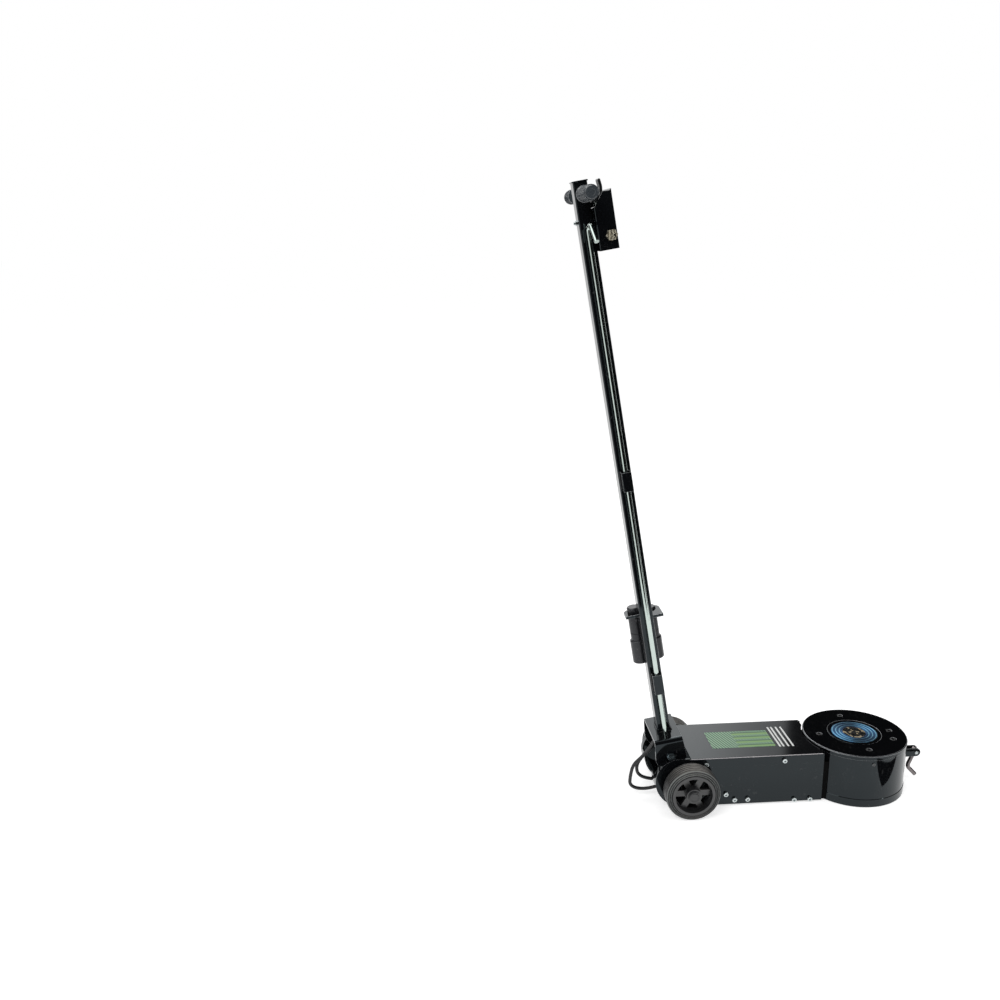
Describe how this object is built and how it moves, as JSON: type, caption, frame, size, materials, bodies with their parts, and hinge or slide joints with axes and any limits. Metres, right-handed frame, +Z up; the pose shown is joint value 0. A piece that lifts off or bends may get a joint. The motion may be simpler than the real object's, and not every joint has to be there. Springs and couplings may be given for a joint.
{
  "type": "air hydraulic jack",
  "caption": "Low air-over-hydraulic lifting jack: telescopic rams in a round cylinder, a wheeled frame and a long tilting handle with a lock.",
  "frame": {"origin": "on the floor, at the lifting cylinder's axis", "axes": "+Z up, +X from the handle to the lifting cylinder, -Y the side of the lock rod and air inlet"},
  "size_m": [0.8603, 0.2934, 1.4021],
  "materials": {
    "black_paint": "gloss black paint",
    "bare_steel": "machined steel",
    "chrome": "hard chrome",
    "zinc": "bright zinc plating",
    "black_oxide": "black oxide steel",
    "spring_steel": "drawn spring wire",
    "brass": "machined brass",
    "aluminium": "plain aluminium",
    "rubber": "moulded rubber",
    "tyre": "solid rubber tyre",
    "black_plastic": "moulded plastic"
  },
  "bodies": {
    "chassis": {"cylinder_base": "black_paint", "tank_shell": "black_paint", "top_disc": "black_paint", "top_screws": "black_oxide", "oil_plugs": "black_oxide", "pressure_barrel": "bare_steel", "gland_ring": "black_paint", "wiper_seal": "rubber", "side_plate_near": "black_paint", "side_plate_far": "black_paint", "top_cover": "black_paint", "frame_screws": "zinc", "cylinder_cradle": "black_paint", "motor_bracket": "black_paint", "axle_tube": "black_paint", "lock_sector": "black_paint", "pivot_bushes": "brass", "axle": "black_oxide", "axle_rings": "black_oxide", "motor_cylinder": "aluminium", "motor_end_caps": "bare_steel", "hose_fittings": "brass", "silencer": "brass", "return_spring": "spring_steel", "pump_block": "bare_steel", "hook_lug": "black_paint", "hook_pin": "zinc", "hose_loops": "rubber"},
    "ram_outer": {"ram_outer": "chrome"},
    "ram_middle": {"ram_middle": "chrome"},
    "ram_inner": {"ram_inner": "chrome"},
    "saddle": {"saddle": "bare_steel"},
    "air_piston": {"air_piston": "bare_steel"},
    "strap_hook": {"strap_hook": "zinc"},
    "wheel_near": {"rim_near": "black_plastic", "tyre_near": "tyre"},
    "wheel_far": {"rim_far": "black_plastic", "tyre_far": "tyre"},
    "handle": {"yoke": "black_paint", "yoke_socket": "black_paint", "handle_tube": "black_paint", "tube_end_plate": "black_paint", "control_box": "black_paint", "handle_bolts": "zinc", "pivot_bolt": "black_oxide", "cross_tube": "chrome", "grip_near": "rubber", "grip_far": "rubber", "rod_clips": "black_paint", "lock_spring": "spring_steel", "control_valve": "aluminium", "air_inlet": "brass", "lever_spring": "spring_steel", "adapter_rack": "black_paint", "hose_risers": "rubber"},
    "lock_rod": {"lock_rod": "chrome"},
    "control_lever": {"control_lever": "black_oxide"},
    "valve_stem": {"valve_stem": "chrome"},
    "adapter_long": {"adapter_long": "black_oxide"},
    "adapter_short": {"adapter_short": "black_oxide"}
  },
  "joints": [
    {"name": "handle_tilt", "type": "hinge", "parent": "chassis", "child": "handle", "pos_m": [-0.46, 0, 0.122], "axis": [0, -1, 0], "range_deg": [0, 79.5]},
    {"name": "lock_rod_drop", "type": "slide", "parent": "handle", "child": "lock_rod", "axis": [-0.1685, 0, 0.9857], "range_m": [-0.01, 0], "deforming": ["lock_spring"]},
    {"name": "lever_press", "type": "hinge", "parent": "handle", "child": "control_lever", "pos_m": [-0.62527, 0, 1.36188], "axis": [0, -1, 0], "range_deg": [0, 12], "stiffness_Nm_per_rad": 1.2},
    {"name": "valve_stem_slide", "type": "slide", "parent": "handle", "child": "valve_stem", "axis": [-0.1685, 0, 0.9857], "range_m": [-0.0036, 0], "deforming": ["lever_spring"]},
    {"name": "adapter_long_out", "type": "slide", "parent": "handle", "child": "adapter_long", "axis": [0, 1, 0], "range_m": [0, 0.06]},
    {"name": "adapter_short_out", "type": "slide", "parent": "handle", "child": "adapter_short", "axis": [0, 1, 0], "range_m": [0, 0.06]},
    {"name": "wheel_near_spin", "type": "hinge", "parent": "chassis", "child": "wheel_near", "pos_m": [-0.423, -0.117, 0.0625], "axis": [0, 1, 0], "continuous": true},
    {"name": "wheel_far_spin", "type": "hinge", "parent": "chassis", "child": "wheel_far", "pos_m": [-0.423, 0.117, 0.0625], "axis": [0, 1, 0], "continuous": true},
    {"name": "ram_outer_lift", "type": "slide", "parent": "chassis", "child": "ram_outer", "axis": [0, 0, 1], "range_m": [0, 0.062]},
    {"name": "ram_middle_lift", "type": "slide", "parent": "ram_outer", "child": "ram_middle", "axis": [0, 0, 1], "range_m": [0, 0.062]},
    {"name": "ram_inner_lift", "type": "slide", "parent": "ram_middle", "child": "ram_inner", "axis": [0, 0, 1], "range_m": [0, 0.06]},
    {"name": "saddle_out", "type": "slide", "parent": "ram_inner", "child": "saddle", "axis": [0, 0, 1], "range_m": [0, 0.05]},
    {"name": "air_piston_stroke", "type": "slide", "parent": "chassis", "child": "air_piston", "axis": [1, 0, 0], "range_m": [0, 0.03], "stiffness_N_per_m": 600, "deforming": ["return_spring"]},
    {"name": "hook_swing", "type": "hinge", "parent": "chassis", "child": "strap_hook", "pos_m": [0.155, 0, 0.073], "axis": [0, -1, 0], "range_deg": [-8, 105]}
  ],
  "couplings": [
    {"joint": "valve_stem_slide", "follows": "lever_press", "m_per_rad": -0.017}
  ]
}
